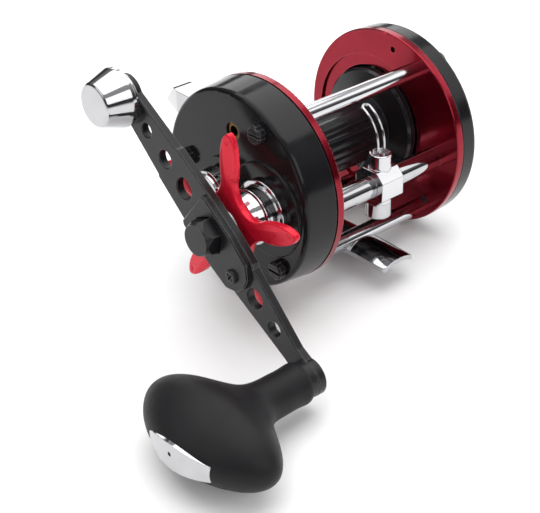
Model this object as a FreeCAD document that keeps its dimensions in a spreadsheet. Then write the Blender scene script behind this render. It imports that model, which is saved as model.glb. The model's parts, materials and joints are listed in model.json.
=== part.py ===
"""Round level-wind baitcasting reel, as a parametric document.

The reel stands on its foot: the origin is the middle of the foot's saddle, on its underside.
+X runs along the spool axis to the palm side, -Y is the front (the line leaves that way) and
+Z is up. Most sub-parts belong to one side of the reel, and are drawn outwards from the inner
face of that side's frame plate: a body's own X is the distance out from that face, and on the
handle side its own Y points to the front.
"""
import FreeCAD, Part
import math
import os
import re

import Sketcher
from FreeCAD import Placement, Rotation, Vector

DIMENSIONS = {
    # frame
    "plate_r": 30.0, "plate_gap": 45.5, "plate_t": 2.3, "seat_drop": 24.6,
    "spool_hole_r": 17.7, "recess_r": 22.2, "recess_depth": 0.8,
    # axes, as distance to the front and up from the middle of the frame plates
    "spool_f": -4.2, "drive_f": 12.8, "drive_up": -1.0, "worm_f": 20.4, "worm_up": -2.9,
    "top_pillar_f": 10.0, "top_pillar_up": 20.9, "low_pillar_f": 12.4, "low_pillar_up": -23.8,
    "rear_pillar_f": -25.0, "rear_pillar_up": -3.5, "pillar_r": 2.5, "spigot_r": 1.7,
    "screw_r": 1.2, "screw_head_r": 2.2,
    # foot
    "foot_w": 12.0, "foot_len": 60.4, "foot_t": 1.3, "rod_r": 11.4,
    # handle-side cover
    "cover_wall_r": 28.15, "cover_face": 12.9, "cover_face_r": 28.95, "cover_inside": 11.2,
    "boss_r": 13.8, "boss_face": 13.6, "cast_boss_r": 8.4, "cast_tube_r": 4.9, "cast_tube_end": 18.2,
    "bearing_r": 4.0, "drive_bearing_r": 7.0,
    "oil_f": -0.7, "oil_up": 17.5, "oil_r": 2.6,
    "thumb_b_f": 18.2, "thumb_b_up": -17.6, "thumb_c_f": -20.0, "thumb_c_up": 2.6, "thumb_r": 2.7,
    # palm-side cover
    "palm_face": 9.6, "palm_inside": 8.0, "palm_edge_r": 29.7, "palm_wall_r": 28.2,
    # mechanism plate and clutch
    "mech_in": 2.6, "mech_out": 4.0, "pinion_hole_r": 4.0,
    "yoke_in": 5.0, "yoke_t": 0.9, "yoke_stud_f": -8.5, "yoke_stud_up": 7.8, "yoke_stud_r": 1.2,
    "clutch_travel": 1.5, "button_travel": 4.0,
    # gears: a 63-tooth drive gear with a 10-tooth pinion, and 24 teeth driving 14 on the worm
    "gear_in": 6.55, "gear_out": 9.9, "wind_gear_in": 4.5, "wind_gear_out": 5.9,
    "pinion_in": 3.4, "pinion_teeth_in": 5.95, "pinion_out": 11.2, "backlash": 0.03,
    # drive shaft and drag
    "shaft_r": 3.0, "shaft_nose_r": 2.5, "journal_r": 2.0, "sleeve_r": 4.0, "run": 0.05,
    "drag_r": 11.7, "housing_in": 13.3, "housing_out": 23.6,
    # star drag
    "star_back": 24.8, "star_front": 27.2, "star_web_r": 13.0, "star_gap_at": 15.6,
    "star_gap_r": 6.0, "star_tip_r": 27.5, "star_angle": 92.2,
    # handle
    "arm_back": 29.6, "arm_front": 32.0, "arm_drop": 37.0, "knob_at": 45.7, "weight_at": 45.4,
    "retainer_front": 33.5, "nut_front": 37.9, "nut_face_r": 4.35, "nut_flats": 9.4,
    "weight_r": 8.5, "weight_front_r": 6.1, "weight_back": 33.6, "weight_front": 42.0,
    "post_r": 2.5, "stem_r": 5.7, "stem_in": 34.5, "knob_front": 77.0, "knob_bore_r": 3.6,
    "plate_curve": 27.7, "inlay_len": 22.0, "inlay_t": 1.3,
    # spool
    "flange_r": 17.1, "flange_out": 0.3, "flange_in": -1.9, "arbor_r": 10.0, "axle_r": 1.5,
    "axle_handle_end": 17.5, "axle_palm_end": 7.2, "pin_r": 0.5, "pin_at": 4.0,
    # level wind
    "tube_r": 3.3, "tube_bore": 2.65, "worm_r": 2.3, "worm_journal_r": 1.4, "carriage_x": 0.6,
    "wire_r": 0.45, "guide_half_gap": 1.25, "collar_r": 3.25, "cap_r": 3.7,
}

doc = FreeCAD.newDocument("round_baitcasting_reel")
sheet = doc.addObject("Spreadsheet::Sheet", "Dims")
for row, (alias, number) in enumerate(DIMENSIONS.items(), start=1):
    sheet.set(f"A{row}", alias)
    sheet.set(f"B{row}", str(number))
    sheet.setAlias(f"B{row}", alias)
doc.recompute()

SUBPARTS = []


def dim(alias):
    """A driving dimension's present value."""
    return float(sheet.get(alias))


def bound(text):
    """An expression with each alias in it pointed at the sheet."""
    return re.sub(r"[a-z]\w*", lambda word: f"Dims.{word.group()}" if word.group() in DIMENSIONS
                  else word.group(), str(text))


# ---------------------------------------------------------------- documents objects and sketches

def origin_part(body, role):
    """One of a body's own origin planes or axes."""
    return next(part for part in body.Origin.OriginFeatures if part.Role == role)


def new_body(label, side, forward="0", up="0", turn=0.0):
    """An empty body whose X points out of one side of the reel, at a point of its plate."""
    body = doc.addObject("PartDesign::Body", label)
    body.Label = label
    half_turn = 180.0 if side == "handle" else 0.0
    body.Placement = Placement(Vector(), Rotation(Vector(0, 0, 1), half_turn)
                               * Rotation(Vector(1, 0, 0), turn))
    start = {"handle": "-plate_gap / 2", "palm": "plate_gap / 2", "middle": "carriage_x"}[side]
    body.setExpression("Placement.Base.x", bound(start))
    body.setExpression("Placement.Base.y", bound(f"-({forward})"))
    body.setExpression("Placement.Base.z", bound(f"seat_drop + {up}"))
    return body


def new_sketch(body, role, offset="0"):
    """A sketch on one of the body's origin planes, moved along that plane's normal."""
    sketch = body.newObject("Sketcher::SketchObject", "outline")
    sketch.AttachmentSupport = [(origin_part(body, role), "")]
    sketch.MapMode = "FlatFace"
    sketch.setExpression("AttachmentOffset.Base.z", bound(offset))
    return sketch


def hold_point(sketch, geometry, point, across, along):
    """Tie a point of the sketch to two expressions."""
    for kind, text in (("DistanceX", across), ("DistanceY", along)):
        index = sketch.addConstraint(Sketcher.Constraint(kind, -1, 1, geometry, point, 1.0))
        sketch.setExpression(f"Constraints[{index}]", bound(text))


def draw_polygon(sketch, points):
    """A closed outline of straight edges through the points, each a pair of expressions."""
    count = len(points)
    first = sketch.GeometryCount
    turn = 2 * math.pi / count
    rough = [Vector(10 * math.cos(turn * i), 10 * math.sin(turn * i), 0) for i in range(count)]
    for i in range(count):
        sketch.addGeometry(Part.LineSegment(rough[i], rough[(i + 1) % count]), False)
    for i in range(count):
        after = first + (i + 1) % count
        sketch.addConstraint(Sketcher.Constraint("Coincident", first + i, 2, after, 1))
    for i, (across, along) in enumerate(points):
        hold_point(sketch, first + i, 1, across, along)


def draw_circle(sketch, across, along, radius):
    """A circle whose centre and radius are expressions."""
    index = sketch.addGeometry(Part.Circle(Vector(0, 0, 0), Vector(0, 0, 1), 1.0), False)
    hold_point(sketch, index, 3, across, along)
    ring = sketch.addConstraint(Sketcher.Constraint("Radius", index, 1.0))
    sketch.setExpression(f"Constraints[{ring}]", bound(radius))


def draw(sketch, loops):
    """Draw loops: three expressions are a circle, a longer list is a polygon."""
    for loop in loops:
        if isinstance(loop, tuple):
            draw_circle(sketch, *loop)
        else:
            draw_polygon(sketch, loop)


def turn_outline(body, points):
    """A solid of revolution about the body's X, from (distance out, radius) points."""
    sketch = new_sketch(body, "XZ_Plane")
    draw_polygon(sketch, points)
    solid = body.newObject("PartDesign::Revolution", "turned")
    solid.Profile = sketch
    solid.ReferenceAxis = (sketch, ["H_Axis"])
    solid.Angle = 360
    return solid


def cut_turned(body, points):
    """Turn a groove out of the body, from (distance out, radius) points."""
    sketch = new_sketch(body, "XZ_Plane")
    draw_polygon(sketch, points)
    before = solid_volume(body)
    groove = body.newObject("PartDesign::Groove", "groove")
    groove.Profile = sketch
    groove.ReferenceAxis = (sketch, ["H_Axis"])
    groove.Angle = 360
    must_cut(body, before)
    return groove


def pad(body, start, end, loops):
    """A plate of the drawn loops between two distances out."""
    sketch = new_sketch(body, "YZ_Plane", start)
    draw(sketch, loops)
    solid = body.newObject("PartDesign::Pad", "pad")
    solid.Profile = sketch
    solid.setExpression("Length", bound(f"({end}) - ({start})"))
    return solid


def pocket(body, start, end, loops):
    """Cut the drawn loops out of the body between two distances out."""
    sketch = new_sketch(body, "YZ_Plane", start)
    draw(sketch, loops)
    before = solid_volume(body)
    cut = body.newObject("PartDesign::Pocket", "pocket")
    cut.Profile = sketch
    cut.Reversed = True
    cut.setExpression("Length", bound(f"({end}) - ({start})"))
    must_cut(body, before)
    return cut


def solid_volume(body):
    """The body's volume so far."""
    doc.recompute()
    return body.Shape.Volume


def must_cut(body, before):
    """Stop if the last cut took nothing away."""
    if solid_volume(body) > before - 1e-6:
        raise RuntimeError(f"{body.Label}: a cut removes nothing")


def repeat(body, feature, count):
    """Repeat a feature evenly round the body's X."""
    pattern = body.newObject("PartDesign::PolarPattern", "round_the_axis")
    pattern.Originals = [feature]
    pattern.Axis = (origin_part(body, "X_Axis"), [""])
    pattern.Angle = 360
    pattern.Occurrences = count
    body.Tip = pattern
    return pattern


def soften(body, size, wanted, chamfer=False):
    """Round, or chamfer, the edges of the body that the test picks."""
    doc.recompute()
    tip = body.Tip
    names = [f"Edge{i}" for i, edge in enumerate(tip.Shape.Edges, start=1) if wanted(edge)]
    if not names:
        raise RuntimeError(f"{body.Label}: no edge to soften")
    dress = body.newObject("PartDesign::Chamfer" if chamfer else "PartDesign::Fillet", "softened")
    dress.Base = (tip, names)
    dress.setExpression("Size" if chamfer else "Radius", bound(size))
    return dress


def ring_edge(out, radius):
    """A test for circular edges round an axis along X, at a distance out and a radius."""
    def wanted(edge):
        return (isinstance(edge.Curve, Part.Circle) and abs(edge.Curve.Radius - radius) < 0.02
                and abs(edge.Curve.Center.x - out) < 0.02)
    return wanted


def flat_edge(out):
    """A test for every edge that lies at one distance out."""
    def wanted(edge):
        return abs(edge.BoundBox.XMin - out) < 1e-3 and abs(edge.BoundBox.XMax - out) < 1e-3
    return wanted


def keep(part):
    """Register a finished sub-part."""
    SUBPARTS.append(part)
    return part


def group(label, parts):
    """Several alike solids that share one sub-part."""
    compound = doc.addObject("Part::Compound", label)
    compound.Label = label
    compound.Links = parts
    return keep(compound)


def shaped(label, shape, place=None):
    """A sub-part whose shape is worked out in code."""
    feature = doc.addObject("Part::Feature", label)
    feature.Label = label
    feature.Shape = shape
    if place is not None:
        feature.Placement = place
    return keep(feature)


def turned(label, side, forward, up, points, register=True):
    """A sub-part that is one solid of revolution."""
    body = new_body(label, side, forward, up)
    turn_outline(body, points)
    return keep(body) if register else body


def ring_points(start, end, inner, outer):
    """The outline of a plain ring, washer or bush."""
    return [(start, inner), (end, inner), (end, outer), (start, outer)]


def rod_points(start, end, radius):
    """The outline of a plain rod."""
    return ring_points(start, end, "0", radius)


# ---------------------------------------------------------------- frame

PILLARS = {"top": ("top_pillar_f", "top_pillar_up"), "rear": ("rear_pillar_f", "rear_pillar_up"),
           "front_lower": ("low_pillar_f", "low_pillar_up"),
           "rear_lower": ("-low_pillar_f", "low_pillar_up")}
THUMBSCREWS = [PILLARS["top"], ("thumb_b_f", "thumb_b_up"), ("thumb_c_f", "thumb_c_up")]


def cover_screws(side):
    """Three screws hold the handle-side cover, and the first two places the palm-side one."""
    return THUMBSCREWS if side == "handle" else THUMBSCREWS[:2]


def on_side(side, forward):
    """A distance to the front as the own Y of a body on one side of the reel."""
    return forward if side == "handle" else f"-({forward})"


def frame_plate(label, side):
    """A flat ring with the spool's opening, and seats for pillars, tube and screws."""
    body = new_body(label, side)
    holes = [(on_side(side, forward), up, "spigot_r") for forward, up in PILLARS.values()]
    holes += [(on_side(side, "thumb_b_f"), "thumb_b_up", "screw_r")]
    holes += [(on_side(side, "spool_f"), "0", "spool_hole_r"),
              (on_side(side, "worm_f"), "worm_up", "tube_r")]
    pad(body, "0", "plate_t", [("0", "0", "plate_r")] + holes)
    sinks = [(on_side(side, forward), up, "screw_head_r")
             for name, (forward, up) in PILLARS.items() if name != "top"]
    pocket(body, "plate_t - 1", "plate_t", sinks)
    return body


def handle_side_plate():
    body = frame_plate("handle_side_plate", "handle")
    soften(body, "0.4", ring_edge(0.0, dim("plate_r")))
    return keep(body)


def palm_side_plate():
    """The palm-side plate also has a shallow step round the spool, and a spare screw hole."""
    body = frame_plate("palm_side_plate", "palm")
    pocket(body, "0", "recess_depth", [("-spool_f", "-1", "recess_r")])
    pocket(body, "0", "plate_t", [("-2.7", "25.6", "0.9")])
    soften(body, "0.4", ring_edge(0.0, dim("plate_r")))
    return keep(body)


def pillar(label, forward, up):
    """A crossbar with a bored spigot in each frame plate."""
    body = new_body(label, "handle", forward, up)
    near, far = "plate_t - 1", "-(plate_gap + plate_t - 1)"
    turn_outline(body, [(near, "0"), (near, "spigot_r"), ("0", "spigot_r"),
                        ("0", "pillar_r"), ("-plate_gap", "pillar_r"), ("-plate_gap", "spigot_r"),
                        (far, "spigot_r"), (far, "0")])
    for start, end in (("-6", near), (far, f"{far} + 7.3")):
        pocket(body, start, end, [("0", "0", "screw_r")])
    return body


def lower_pillar(name):
    """A lower crossbar, notched from below by the arched foot that it carries."""
    forward, up = PILLARS[name]
    bar = pillar(f"{name}_bar", forward, up)
    notch = doc.addObject("Part::Cylinder", f"{name}_notch")
    notch.Height = 12
    notch.setExpression("Radius", bound("rod_r + foot_t"))
    notch.Placement = Placement(Vector(), Rotation(Vector(1, 0, 0), 90))
    notch.setExpression("Placement.Base.y", bound(f"-({forward}) + 6"))
    notch.setExpression("Placement.Base.z", bound("-rod_r"))
    width = doc.addObject("Part::Box", f"{name}_notch_width")
    width.setExpression("Length", bound("foot_w"))
    width.Width = 12
    width.Height = 12
    width.setExpression("Placement.Base.x", bound("-foot_w / 2"))
    width.setExpression("Placement.Base.y", bound(f"-({forward}) - 6"))
    width.Placement.Base.z = -6
    tool = doc.addObject("Part::Common", f"{name}_notch_tool")
    tool.Base = notch
    tool.Tool = width
    cut = doc.addObject("Part::Cut", f"{name}_pillar")
    cut.Base = bar
    cut.Tool = tool
    return cut


def pillars():
    group("upper_pillars", [pillar(f"{name}_pillar", *PILLARS[name]) for name in ("top", "rear")])
    group("lower_pillars", [lower_pillar("front_lower"), lower_pillar("rear_lower")])


def countersunk_screw(label, side, forward, up):
    """A flush screw in a frame plate, holding a pillar."""
    body = new_body(label, side, forward, up)
    turn_outline(body, [("-5", "0"), ("plate_t", "0"), ("plate_t", "screw_head_r"),
                        ("plate_t - 0.9", "screw_head_r"), ("plate_t - 0.9", "screw_r"),
                        ("-5", "screw_r")])
    pocket(body, "plate_t - 0.5", "plate_t", [[("-1.6", "-0.3"), ("1.6", "-0.3"),
                                               ("1.6", "0.3"), ("-1.6", "0.3")]])
    return body


def pillar_screws():
    """Three flush screws in the handle-side plate and three in the palm-side one."""
    screws = [countersunk_screw(f"{name}_screw_{side}", side, forward, up)
              for side in ("handle", "palm")
              for name, (forward, up) in PILLARS.items() if name != "top"]
    group("pillar_screws", screws)


def reel_foot():
    """A strip of an arched shell, hollow below to sit on the rod seat, with eased corners."""
    shell = []
    for name, radius in (("foot_top", "rod_r + foot_t"), ("foot_hollow", "rod_r")):
        drum = doc.addObject("Part::Cylinder", name)
        drum.setExpression("Radius", bound(radius))
        drum.setExpression("Height", bound("foot_len"))
        drum.Placement = Placement(Vector(), Rotation(Vector(1, 0, 0), 90))
        drum.setExpression("Placement.Base.y", bound("foot_len / 2"))
        drum.setExpression("Placement.Base.z", bound("-rod_r"))
        shell.append(drum)
    arch = doc.addObject("Part::Cut", "foot_arch")
    arch.Base, arch.Tool = shell
    strip = doc.addObject("Part::Box", "foot_strip")
    strip.setExpression("Length", bound("foot_w"))
    strip.setExpression("Width", bound("foot_len"))
    strip.Height = 10
    strip.setExpression("Placement.Base.x", bound("-foot_w / 2"))
    strip.setExpression("Placement.Base.y", bound("-foot_len / 2"))
    strip.Placement.Base.z = -5
    blank = doc.addObject("Part::Common", "foot_blank")
    blank.Base = arch
    blank.Tool = strip
    bored = blank
    for index, (forward, across) in enumerate(FOOT_SCREWS):
        hole = doc.addObject("Part::Cylinder", f"foot_hole_{index}")
        hole.Radius = FOOT_SCREW_R
        hole.Height = 10
        hole.Placement.Base = Vector(across, 0, -5)
        hole.setExpression("Placement.Base.y", bound(f"-({forward})"))
        with_hole = doc.addObject("Part::Cut", f"foot_bored_{index}")
        with_hole.Base = bored
        with_hole.Tool = hole
        bored = with_hole
    doc.recompute()
    half_len, half_w = dim("foot_len") / 2, dim("foot_w") / 2
    corners = [(i, 1.2, 1.2) for i, edge in enumerate(bored.Shape.Edges, start=1)
               if edge.BoundBox.YLength < 0.01 and edge.BoundBox.XLength < 0.01
               and abs(abs(edge.BoundBox.YMin) - half_len) < 0.01
               and abs(abs(edge.BoundBox.XMin) - half_w) < 0.01]
    foot = doc.addObject("Part::Fillet", "reel_foot")
    foot.Base = bored
    foot.Edges = corners
    foot.Label = "reel_foot"
    return keep(foot)


FOOT_SCREW_R = 0.9
FOOT_SCREWS = [("low_pillar_f", -3.0), ("low_pillar_f", 3.0),
               ("-low_pillar_f", -3.0), ("-low_pillar_f", 3.0)]


def foot_screws():
    """Four short rivets that fill the foot's holes, under the notched pillars."""
    rivets = []
    rod = dim("rod_r")
    for index, (forward, across) in enumerate(FOOT_SCREWS):
        start = math.sqrt(rod ** 2 - across ** 2) - rod
        rivet = doc.addObject("Part::Cylinder", f"foot_rivet_{index}")
        rivet.Radius = FOOT_SCREW_R
        rivet.setExpression("Height", bound("foot_t - 0.2"))
        rivet.Placement.Base = Vector(across, 0, start - 0.05)
        rivet.setExpression("Placement.Base.y", bound(f"-({forward})"))
        rivets.append(rivet)
    group("foot_rivets", rivets)


# ---------------------------------------------------------------- handle-side cover

COVER_POSTS = [("-4", "24.5"), ("-16", "-18"), ("4", "-25")]
BUTTON_SLOT = [("-33", "8"), ("-19.5", "8"), ("-19.5", "19.8"), ("-33", "19.8")]


def handle_side_cover():
    """A cup with bosses for the drive shaft and the cast control, and a slot for the button."""
    body = new_body("handle_side_cover", "handle")
    turn_outline(body, [("plate_t", "cover_wall_r"), ("cover_inside", "cover_wall_r"),
                        ("cover_inside", "0"), ("cover_face", "0"), ("cover_face", "cover_face_r"),
                        ("plate_t + 0.5", "plate_r - 0.1"), ("plate_t", "plate_r - 0.5")])
    pad(body, "cover_face", "boss_face", [("drive_f", "drive_up", "boss_r")])
    pad(body, "cover_face", "boss_face + 0.5", [("spool_f", "0", "cast_boss_r")])
    pad(body, "cover_inside", "cast_tube_end", [("spool_f", "0", "cast_tube_r")])
    pad(body, "mech_out", "cover_inside", [(forward, up, "2") for forward, up in COVER_POSTS])
    pocket(body, "cover_inside - 0.1", "cast_tube_end - 2.5", [("spool_f", "0", "bearing_r")])
    pocket(body, "cover_inside - 0.1", "cast_tube_end", [("spool_f", "0", "2.2")])
    pocket(body, "cover_inside - 0.1", "boss_face", [("drive_f", "drive_up", "drive_bearing_r")])
    pocket(body, "cover_inside - 0.1", "cover_face", [("oil_f", "oil_up", "oil_r")])
    pocket(body, "cover_inside - 0.1", "cover_face + 1",
           [(forward, up, "screw_r") for forward, up in THUMBSCREWS])
    pocket(body, "mech_out - 0.1", "mech_out + 5", [(forward, up, "0.9")
                                                    for forward, up in COVER_POSTS])
    pocket(body, "plate_t + 0.4", "cover_inside - 0.5", [BUTTON_SLOT])
    soften(body, "1.3", ring_edge(dim("cover_face"), dim("cover_face_r")))
    soften(body, "0.35", ring_edge(dim("boss_face"), dim("boss_r")))
    return keep(body)


def thumbscrew(label, side, forward, up, face, height, tip):
    """A cover screw with a round head, gripped by six scallops and a coin slot."""
    body = new_body(label, side, forward, up)
    top = f"{face} + {height}"
    turn_outline(body, [(tip, "0"), (top, "0"), (top, "thumb_r - 0.5"),
                        (f"{top} - 0.5", "thumb_r"), (face, "thumb_r"), (face, "screw_r"),
                        (tip, "screw_r")])
    scallop = pocket(body, face, top, [("thumb_r + 0.4", "0", "0.8")])
    repeat(body, scallop, 6)
    pocket(body, f"{top} - 0.8", top, [[("-3", "-0.35"), ("3", "-0.35"),
                                        ("3", "0.35"), ("-3", "0.35")]])
    return body


def cover_thumbscrews():
    """Screws in each cover; the top ones reach into the top pillar."""
    tips = ("-4", "0.3", "plate_t")
    for side, face, height in (("handle", "cover_face", 2.3), ("palm", "palm_face", 3.3)):
        screws = [thumbscrew(f"{side}_thumbscrew_{i}", side, forward, up, face, height, tips[i])
                  for i, (forward, up) in enumerate(cover_screws(side))]
        group(f"{side}_cover_thumbscrews", screws)


def oil_port_bush():
    turned("oil_port_bush", "handle", "oil_f", "oil_up",
           ring_points("cover_inside", "cover_inside + 1.2", "1.5", "oil_r"))


def mechanism_plate():
    """The plate behind the frame plate that carries the shaft's bush and the clutch."""
    body = new_body("mechanism_plate", "handle")
    holes = [("drive_f", "drive_up", "journal_r + 1.2"), ("spool_f", "0", "pinion_hole_r"),
             ("worm_f", "worm_up", "2")]
    holes += [(forward, up, "screw_r + 0.1") for forward, up in THUMBSCREWS]
    holes += [(forward, up, "0.9") for forward, up in COVER_POSTS]
    pad(body, "mech_in", "mech_out", [("0", "0", "cover_wall_r - 0.1")] + holes)
    pocket(body, "mech_in", "mech_out", [BUTTON_SLOT])
    return keep(body)


def mechanism_screws():
    """Three pan-head screws that hold the mechanism plate to the cover's posts."""
    screws = []
    for index, (forward, up) in enumerate(COVER_POSTS):
        screws.append(turned(f"mechanism_screw_{index}", "handle", forward, up,
                             [("plate_t", "0"), ("mech_out + 4", "0"), ("mech_out + 4", "0.9"),
                              ("mech_in", "0.9"), ("mech_in", "1.6"), ("plate_t", "1.6")], False))
    group("mechanism_screws", screws)


def drive_bearings():
    turned("drive_shaft_bush", "handle", "drive_f", "drive_up",
           ring_points("mech_in", "mech_out", "journal_r + run", "journal_r + 1.2"))
    turned("drive_shaft_bearing", "handle", "drive_f", "drive_up",
           ring_points("cover_inside + 0.1", "housing_in", "sleeve_r + run", "drive_bearing_r"))


def one_way_housing():
    """A stepped bell on the cover: rear ring, waist, front ring and a domed nose."""
    body = new_body("one_way_housing", "handle", "drive_f", "drive_up")
    turn_outline(body, [("boss_face", "7"), ("18", "7"), ("18", "4.3"), ("housing_out", "4.3"),
                        ("housing_out", "4.7"), ("23.2", "5.3"), ("22.2", "6.1"), ("21", "6.75"),
                        ("19.7", "7.2"), ("19.3", "7.3"), ("19.3", "8.05"), ("18.2", "8.05"),
                        ("18.2", "7.7"), ("15.1", "7.9"), ("15.1", "9.15"),
                        ("boss_face", "9.15")])
    for out, radius in ((15.1, 9.15), (19.3, 8.05), (18.2, 8.05)):
        soften(body, "0.3", ring_edge(out, radius))
    return keep(body)


def one_way_clutch():
    """The anti-reverse clutch: an outer race, and eight rollers on the drag sleeve."""
    turned("one_way_race", "handle", "drive_f", "drive_up", ring_points("14", "17.9", "5.7", "7"))
    rollers = []
    for index in range(8):
        angle = math.radians(45 * index)
        forward = f"drive_f + {4.85 * math.cos(angle):.4f}"
        up = f"drive_up + {4.85 * math.sin(angle):.4f}"
        rollers.append(turned(f"roller_{index}", "handle", forward, up,
                              rod_points("14.3", "17.6", "0.8"), False))
    group("one_way_rollers", rollers)


# ---------------------------------------------------------------- gears

def involute_point(base, radius, half_angle):
    """A point of an involute flank at a radius, for a tooth centred on the first axis."""
    pressure = math.acos(min(1.0, base / radius))
    angle = half_angle - (math.tan(pressure) - pressure)
    return Vector(0, radius * math.cos(angle), radius * math.sin(angle))


def gear_face(teeth, module, shift, tip, backlash, phase):
    """The outline of a spur gear about X, with one tooth centred at the phase angle."""
    pitch = module * teeth / 2
    base = pitch * math.cos(math.radians(20))
    root = pitch - (1.25 - shift) * module
    thickness = module * (math.pi / 2 + 2 * shift * math.tan(math.radians(20))) - backlash
    half_angle = thickness / (2 * pitch) + math.tan(math.radians(20)) - math.radians(20)
    low = max(base, root)
    flank = [involute_point(base, radius, half_angle) for radius in (low, (low + tip) / 2, tip)]
    mirror = [Vector(0, point.y, -point.z) for point in flank]
    axis = Vector(1, 0, 0)
    edges = []
    step = 360.0 / teeth
    foot_angle = math.atan2(flank[0].z, flank[0].y)
    gap_middle = math.radians(step / 2)
    for index in range(teeth):
        spin = Rotation(axis, phase + index * step)

        def at(point, spin=spin):
            return spin.multVec(point)

        low_side = Vector(0, root * math.cos(foot_angle), -root * math.sin(foot_angle))
        high_side = Vector(0, root * math.cos(foot_angle), root * math.sin(foot_angle))
        if root < base:
            edges.append(Part.LineSegment(at(low_side), at(mirror[0])).toShape())
        edges.append(Part.Arc(at(mirror[0]), at(mirror[1]), at(mirror[2])).toShape())
        edges.append(Part.Arc(at(mirror[2]), at(Vector(0, tip, 0)), at(flank[2])).toShape())
        edges.append(Part.Arc(at(flank[2]), at(flank[1]), at(flank[0])).toShape())
        if root < base:
            edges.append(Part.LineSegment(at(flank[0]), at(high_side)).toShape())
        low_radius = min(root, low) if root < base else low
        start = high_side if root < base else flank[0]
        finish = Rotation(axis, step).multVec(low_side if root < base else mirror[0])
        middle = Vector(0, low_radius * math.cos(gap_middle), low_radius * math.sin(gap_middle))
        edges.append(Part.Arc(at(start), at(middle), at(finish)).toShape())
    return Part.Face(Part.Wire(edges))


def gear_solid(start, end, **form):
    """A spur gear between two distances out."""
    solid = gear_face(**form).extrude(Vector(end - start, 0, 0))
    solid.translate(Vector(start, 0, 0))
    return solid


def disc(start, end, radius):
    """A plain disc about X between two distances out."""
    return Part.makeCylinder(radius, end - start, Vector(start, 0, 0), Vector(1, 0, 0))


def handle_side_place(forward, up):
    """The placement of a handle-side shape whose own X points out."""
    base = Vector(-dim("plate_gap") / 2, -forward, dim("seat_drop") + up)
    return Placement(base, Rotation(Vector(0, 0, 1), 180))


def centre_line(forward_a, up_a, forward_b, up_b):
    """Distance between two axes, and the direction from the first to the second in degrees."""
    gap = Vector(forward_b - forward_a, up_b - up_a, 0)
    return gap.Length, math.degrees(math.atan2(gap.y, gap.x))


def main_gears():
    """The drive gear, with its drag cup, and the pinion that slides on the spool's axle."""
    drive = (dim("drive_f"), dim("drive_up"))
    spool = (dim("spool_f"), 0.0)
    apart, bearing = centre_line(*drive, *spool)
    module = 2 * apart / (DRIVE_TEETH + PINION_TEETH)
    start, end = dim("gear_in"), dim("gear_out")
    gear = gear_solid(start, end, teeth=DRIVE_TEETH, module=module, shift=-0.5,
                      tip=module * (DRIVE_TEETH / 2 + 0.5), backlash=dim("backlash"),
                      phase=bearing + 180.0 / DRIVE_TEETH)
    gear = gear.cut(disc(start - 1, end + 1, dim("shaft_r")))
    gear = gear.cut(disc(start + 1.2, end + 1, dim("drag_r") + 0.3))
    shaped("drive_gear", gear, handle_side_place(*drive))

    teeth_in, out = dim("pinion_teeth_in"), dim("pinion_out")
    yoke_in = dim("yoke_in")
    pinion = gear_solid(teeth_in, out, teeth=PINION_TEETH, module=module, shift=0.5,
                        tip=module * (PINION_TEETH / 2 + 1.35), backlash=dim("backlash"),
                        phase=bearing + 180.0)
    pinion = pinion.fuse([disc(dim("pinion_in"), yoke_in - 0.05, 3.3),
                          disc(yoke_in - 0.05, teeth_in, 2.05)])
    pinion = pinion.cut(disc(0, out + 1, dim("axle_r") + dim("run")))
    pin_r, pin_at = dim("pin_r"), dim("pin_at")
    slot = Part.makeBox(pin_at + pin_r + 0.1, 8, 2 * (pin_r + dim("run")),
                        Vector(0, -4, -pin_r - dim("run")))
    pinion = pinion.cut(slot).removeSplitter()
    shaped("pinion", pinion, handle_side_place(*spool))


DRIVE_TEETH, PINION_TEETH = 63, 10
WIND_TEETH, WORM_TEETH = 24, 14


def level_wind_gears():
    """The pair that turns the worm from the inner end of the drive shaft."""
    drive = (dim("drive_f"), dim("drive_up"))
    worm = (dim("worm_f"), dim("worm_up"))
    apart, bearing = centre_line(*drive, *worm)
    module = 2 * apart / (WIND_TEETH + WORM_TEETH)
    start, end = dim("wind_gear_in"), dim("wind_gear_out")
    driver = gear_solid(start, end, teeth=WIND_TEETH, module=module, shift=-0.2,
                        tip=module * (WIND_TEETH / 2 + 0.8), backlash=dim("backlash"),
                        phase=bearing + 180.0 / WIND_TEETH)
    driver = driver.cut(disc(start - 1, end + 1, dim("shaft_r")))
    shaped("level_wind_drive_gear", driver, handle_side_place(*drive))
    driven = gear_solid(start, end, teeth=WORM_TEETH, module=module, shift=0.2,
                        tip=module * (WORM_TEETH / 2 + 1.1), backlash=dim("backlash"),
                        phase=bearing + 180.0)
    driven = driven.cut(disc(start - 1, end + 1, dim("worm_journal_r")))
    shaped("worm_gear", driven, handle_side_place(*worm))


# ---------------------------------------------------------------- drive shaft, drag and star

def drive_shaft():
    turned("drive_shaft", "handle", "drive_f", "drive_up",
           [("mech_in", "0"), ("nut_front - 1.9", "0"), ("nut_front - 1.9", "shaft_nose_r"),
            ("arm_front", "shaft_nose_r"), ("arm_front", "shaft_r"), ("gear_in", "shaft_r"),
            ("gear_in", "5.5"), ("wind_gear_out + 0.15", "5.5"),
            ("wind_gear_out + 0.15", "shaft_r"),
            ("mech_out + 0.3", "shaft_r"), ("mech_out + 0.3", "journal_r"),
            ("mech_in", "journal_r")])


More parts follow.
